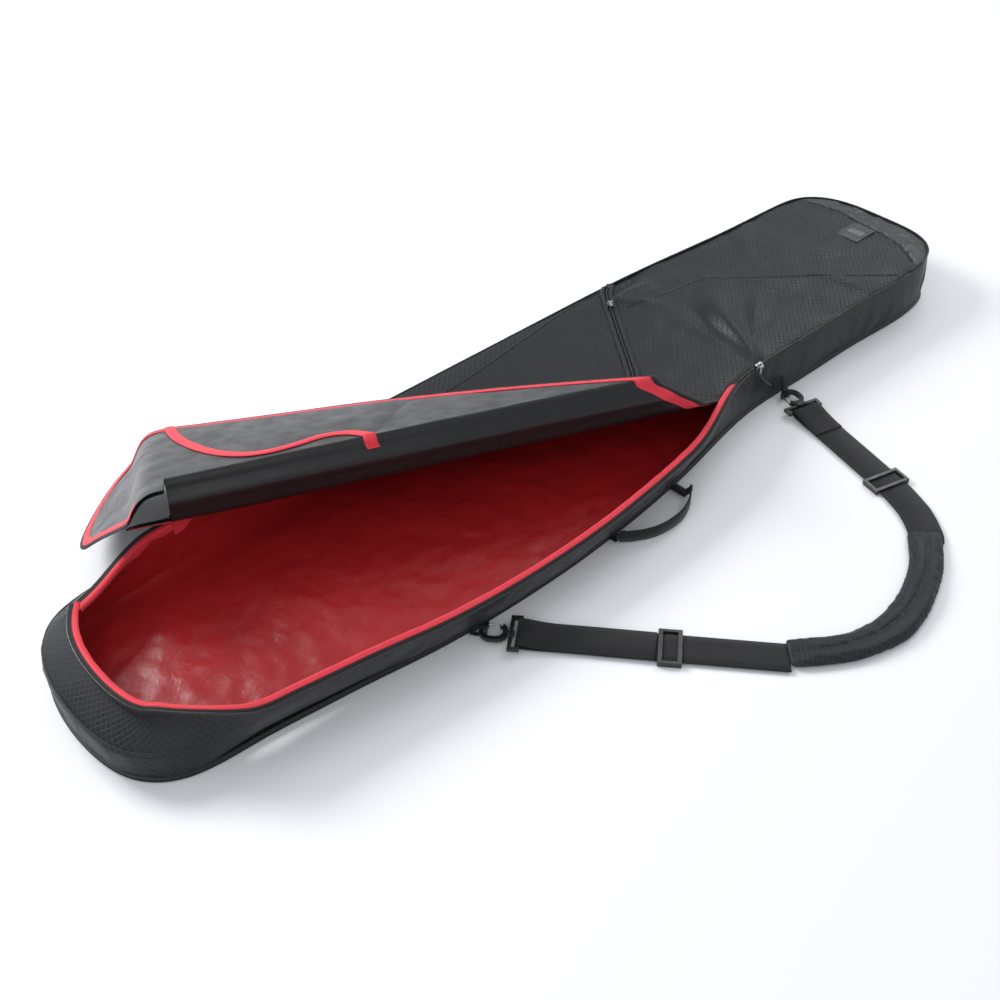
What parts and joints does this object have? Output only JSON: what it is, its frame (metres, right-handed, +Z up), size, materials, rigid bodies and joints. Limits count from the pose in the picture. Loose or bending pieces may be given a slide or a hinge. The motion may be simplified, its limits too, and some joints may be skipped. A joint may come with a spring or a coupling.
{
  "type": "snowboard bag",
  "caption": "Long padded bag for a snowboard, lying open with its zipped lid rolled back, with a padded shoulder strap, a carry handle and an outer pocket.",
  "frame": {"origin": "centre of the bag's base at floor level", "axes": "+X along the bag toward its nose, +Y toward the side the lid is sewn to, +Z up"},
  "size_m": [1.6631, 1.0025, 0.1859],
  "materials": {
    "shell_fabric": "ripstop weave, satin",
    "nose_fabric": "coated fabric, light sheen",
    "foam": "closed-cell padding, matte",
    "red_lining": "coated lining, satin",
    "lid_lining": "coated lining, soft sheen",
    "red_binding": "woven tape, satin",
    "zip_tape": "woven tape, matte",
    "zip_teeth": "moulded coil",
    "piping": "covered cord, matte",
    "webbing": "ribbed webbing, matte",
    "cord": "braided cord",
    "hardware": "moulded plastic",
    "zip_metal": "plated, lightly worn",
    "gate_wire": "bright wire",
    "label": "rubber label, matte"
  },
  "bodies": {
    "root": {"base_panel": "shell_fabric", "base_foam": "foam", "base_lining": "red_lining", "far_wall_panel": "shell_fabric", "nose_wall_panel": "shell_fabric", "tail_wall_panel": "shell_fabric", "near_sill": "shell_fabric", "tail_shoulder_panel": "shell_fabric", "wall_foam": "foam", "wall_lining": "red_lining", "opening_zip_tape": "zip_tape", "opening_zip_coil": "zip_teeth", "zip_chain_closed": "zip_teeth", "opening_binding": "red_binding", "nose_end_strip": "nose_fabric", "top_panel": "shell_fabric", "top_foam": "foam", "top_lining": "lid_lining", "piping": "piping", "pocket_zip": "zip_tape", "pocket_bag": "red_lining", "label_patch": "label", "sewn_tabs": "webbing"},
    "near_wall": {"near_wall_panel": "shell_fabric", "near_wall_foam": "foam", "near_wall_lining": "red_lining", "near_zip_tape": "zip_tape", "near_zip_coil": "zip_teeth", "near_binding": "red_binding", "inner_strap": "red_binding"},
    "lid_roll_1": {"lid_strip_1": "shell_fabric"},
    "lid_roll_2": {"lid_strip_2": "shell_fabric"},
    "lid_roll_3": {"lid_strip_3": "shell_fabric"},
    "lid_flap": {"lid_panel": "shell_fabric", "lid_foam": "foam", "lid_lining": "lid_lining", "lid_binding": "red_binding", "lid_zip": "zip_tape", "lid_pocket_panel": "lid_lining"},
    "lid_tail_end": {"lid_end_panel": "shell_fabric", "lid_end_foam": "foam", "lid_end_lining": "lid_lining", "lid_end_binding": "red_binding", "lid_end_zip": "zip_tape"},
    "main_slider": {"main_slider": "zip_metal"},
    "main_pull": {"main_pull": "zip_metal", "main_pull_cord": "cord"},
    "pocket_slider": {"pocket_slider": "zip_metal"},
    "pocket_pull": {"pocket_pull": "zip_metal"},
    "carry_handle": {"carry_handle": "webbing"},
    "strap": {"hook_loops": "hardware", "webbing_tail": "webbing", "webbing_nose": "webbing", "shoulder_pad": "shell_fabric"},
    "hook_tail": {"hook_tail": "hardware"},
    "hook_nose": {"hook_nose": "hardware"},
    "gate_tail": {"gate_tail": "gate_wire"},
    "gate_nose": {"gate_nose": "gate_wire"},
    "adjuster_tail": {"adjuster_tail": "hardware"},
    "adjuster_nose": {"adjuster_nose": "hardware"}
  },
  "joints": [
    {"name": "lid_fold_1", "type": "hinge", "parent": "root", "child": "lid_roll_1", "pos_m": [0.138, -0.15, 0.093], "axis": [0.9122, -0.4097, 0], "range_deg": [0, 42]},
    {"name": "lid_fold_2", "type": "hinge", "parent": "lid_roll_1", "child": "lid_roll_2", "pos_m": [0.12947, -0.16898, 0.11174], "axis": [0.9122, -0.4097, 0], "range_deg": [0, 42.01]},
    {"name": "lid_fold_3", "type": "hinge", "parent": "lid_roll_2", "child": "lid_roll_3", "pos_m": [0.12828, -0.17165, 0.13958], "axis": [0.9122, -0.4097, 0], "range_deg": [0, 42.01]},
    {"name": "lid_fold_4", "type": "hinge", "parent": "lid_roll_3", "child": "lid_flap", "pos_m": [0.13502, -0.15664, 0.16223], "axis": [0.9122, -0.4097, 0], "range_deg": [0, 76.01]},
    {"name": "lid_tail_end_fold", "type": "hinge", "parent": "lid_flap", "child": "lid_tail_end", "pos_m": [-0.60489, 0.09032, 0.1937], "axis": [0.4237, 0.8249, -0.3742], "range_deg": [0, 34.01]},
    {"name": "near_wall_lean", "type": "hinge", "parent": "root", "child": "near_wall", "pos_m": [0, -0.205, 0.008], "axis": [-1, 0, 0], "range_deg": [0, 25.01]},
    {"name": "main_zip_travel", "type": "slide", "parent": "root", "child": "main_slider", "axis": [1, 0, 0], "range_m": [0, 0.26]},
    {"name": "main_pull_swing", "type": "hinge", "parent": "main_slider", "child": "main_pull", "pos_m": [0.3, -0.158, 0.088], "axis": [-1, 0, 0], "range_deg": [0, 150]},
    {"name": "pocket_zip_travel", "type": "slide", "parent": "root", "child": "pocket_slider", "axis": [-0.582, -0.8132, 0], "range_m": [0, 0.2]},
    {"name": "pocket_pull_swing", "type": "hinge", "parent": "pocket_slider", "child": "pocket_pull", "pos_m": [0.25, 0.1232, 0.1021], "axis": [-0.8132, 0.582, 0], "range_deg": [0, 150]},
    {"name": "carry_handle_swing", "type": "hinge", "parent": "root", "child": "carry_handle", "pos_m": [0, -0.226, 0.025], "axis": [-1, 0, 0], "range_deg": [0, 55]},
    {"name": "strap_swing", "type": "hinge", "parent": "root", "child": "strap", "pos_m": [-0.349, -0.226, 0.0095], "axis": [-0.9965, -0.0836, 0], "range_deg": [0, 28]},
    {"name": "hook_tail_swivel", "type": "hinge", "parent": "strap", "child": "hook_tail", "pos_m": [-0.349, -0.226, 0.0095], "axis": [0.65, -0.76, 0], "range_deg": [-10, 10]},
    {"name": "hook_nose_swivel", "type": "hinge", "parent": "strap", "child": "hook_nose", "pos_m": [0.366, -0.166, 0.0095], "axis": [-0.2599, -0.9656, 0], "range_deg": [-10, 10]},
    {"name": "gate_tail_press", "type": "hinge", "parent": "hook_tail", "child": "gate_tail", "pos_m": [-0.32174, -0.23756, 0.0095], "axis": [0, 0, 1], "range_deg": [0, 18]},
    {"name": "gate_nose_press", "type": "hinge", "parent": "hook_nose", "child": "gate_nose", "pos_m": [0.34637, -0.18816, 0.0095], "axis": [0, 0, -1], "range_deg": [0, 18]},
    {"name": "adjuster_tail_travel", "type": "slide", "parent": "strap", "child": "adjuster_tail", "axis": [0.65, -0.76, 0], "range_m": [0, 0.1]},
    {"name": "adjuster_nose_travel", "type": "slide", "parent": "strap", "child": "adjuster_nose", "axis": [0.2599, 0.9656, 0], "range_m": [0, 0.11]}
  ],
  "couplings": [
    {"joint": "lid_fold_2", "follows": "lid_fold_1", "ratio": 1},
    {"joint": "lid_fold_3", "follows": "lid_fold_1", "ratio": 1},
    {"joint": "lid_fold_4", "follows": "lid_fold_1", "ratio": 1.8095},
    {"joint": "lid_tail_end_fold", "follows": "lid_fold_1", "ratio": 0.80952},
    {"joint": "near_wall_lean", "follows": "lid_fold_1", "ratio": 0.59524}
  ]
}
